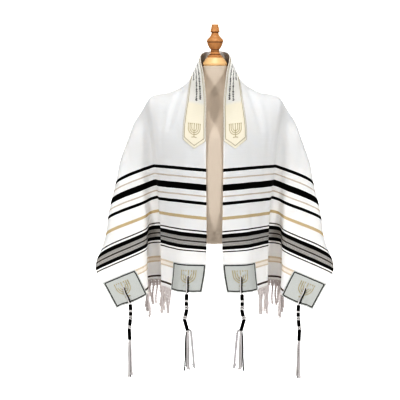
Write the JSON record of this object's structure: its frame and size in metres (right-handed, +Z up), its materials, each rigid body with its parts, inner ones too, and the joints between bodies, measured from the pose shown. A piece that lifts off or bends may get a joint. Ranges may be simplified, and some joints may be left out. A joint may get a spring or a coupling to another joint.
{
  "type": "tallit prayer shawl on a dress form",
  "caption": "Striped, fringed prayer shawl with neckband, corner patches and knotted corner tassels, draped over a limbless dress form with a turned wooden cap on a plain floor stand.",
  "frame": {"origin": "on the floor, under the middle of the base", "axes": "+Z up, the open front of the shawl faces -Y, +X is the wearer's left"},
  "size_m": [0.8682, 0.38, 1.564],
  "materials": {
    "white_cloth": "soft white weave with black, grey and gold stripes",
    "cream_band": "cream satin weave with gold thread",
    "grey_patch": "silver-grey satin weave with gold thread",
    "tassel_cord": "black and white twisted cord",
    "fringe_yarn": "twisted pinkish white yarn",
    "form_cover": "plain beige knit cover",
    "pale_wood": "satin varnish",
    "brown_wood": "satin varnish",
    "white_steel": "white satin paint"
  },
  "bodies": {
    "root": {"shawl": "white_cloth", "neckband": "cream_band", "patch_inner_left": "grey_patch", "patch_inner_right": "grey_patch", "patch_outer_left": "grey_patch", "patch_outer_right": "grey_patch", "tassel_inner_left": "tassel_cord", "tassel_inner_right": "tassel_cord", "tassel_outer_left": "tassel_cord", "tassel_outer_right": "tassel_cord", "fringe_left": "fringe_yarn", "fringe_right": "fringe_yarn", "form_torso": "form_cover", "neck_cap": "pale_wood", "finial": "brown_wood", "pole": "white_steel", "pole_socket": "white_steel", "base": "white_steel"}
  },
  "joints": []
}
